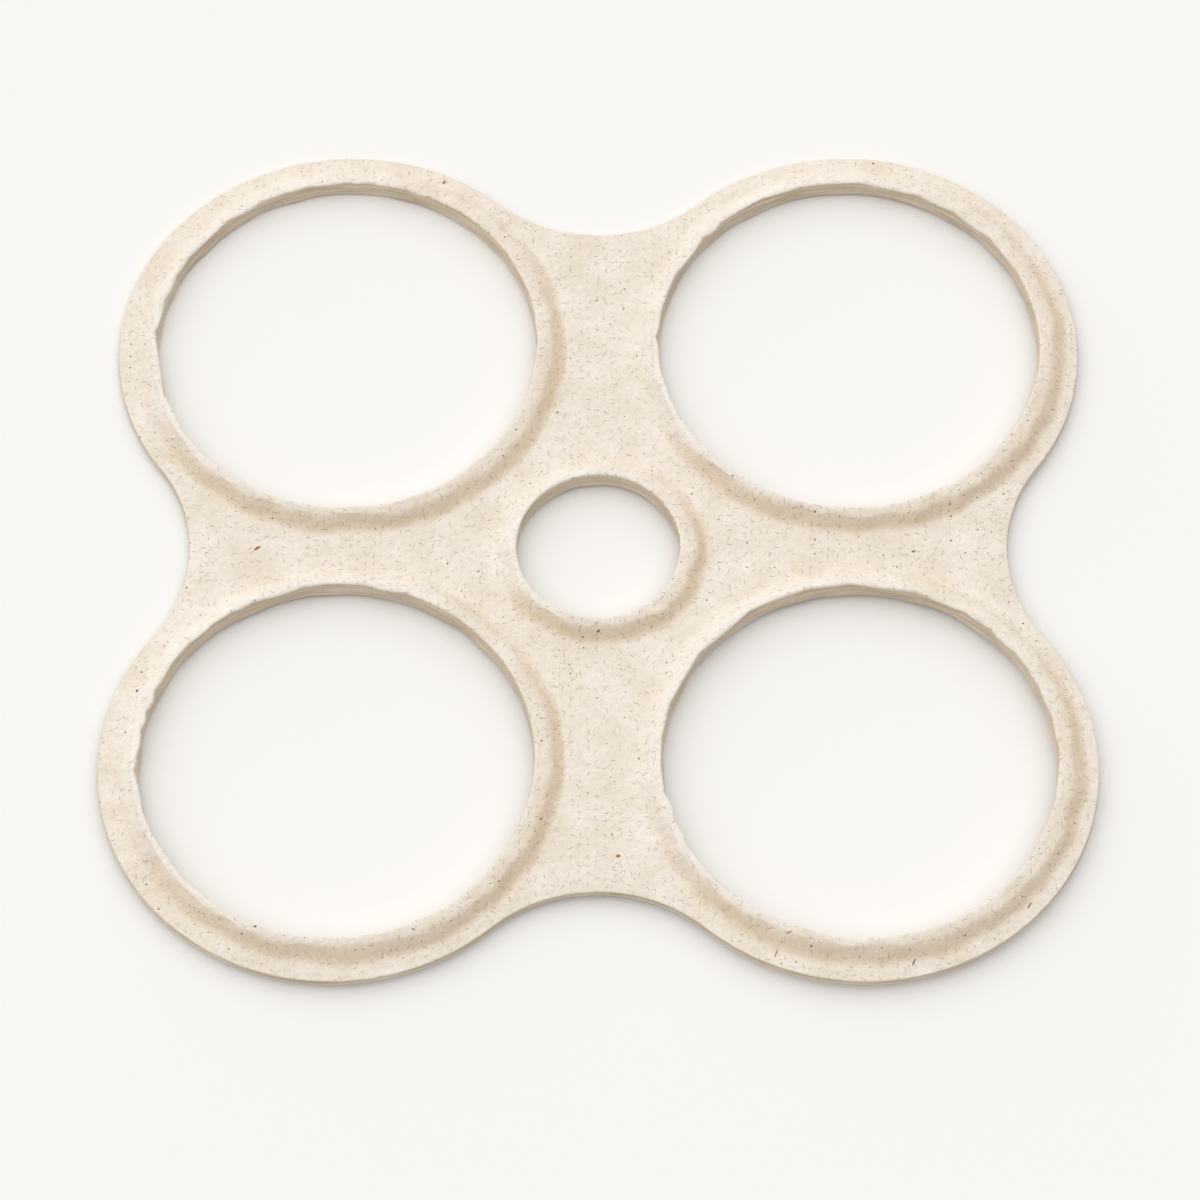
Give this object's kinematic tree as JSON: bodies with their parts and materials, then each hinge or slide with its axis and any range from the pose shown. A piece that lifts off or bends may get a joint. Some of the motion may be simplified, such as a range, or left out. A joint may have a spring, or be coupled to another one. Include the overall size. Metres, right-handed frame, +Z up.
{
  "type": "can carrier",
  "caption": "Flat moulded sugarcane fibre carrier whose round lobes hold drink cans by the neck, with a raised lip round each hole and a finger hole in the middle.",
  "frame": {"origin": "middle of the finger hole, on the underside that the carrier lies on", "axes": "+X along the wider can pitch, +Y from front to back, +Z up, out of the lips' crowns"},
  "size_m": [0.1368, 0.1318, 0.0028],
  "materials": {
    "moulded_fibre": "matt pressed sugarcane fibre, cream, with fine dark specks"
  },
  "bodies": {
    "root": {"carrier": "moulded_fibre"}
  },
  "joints": []
}
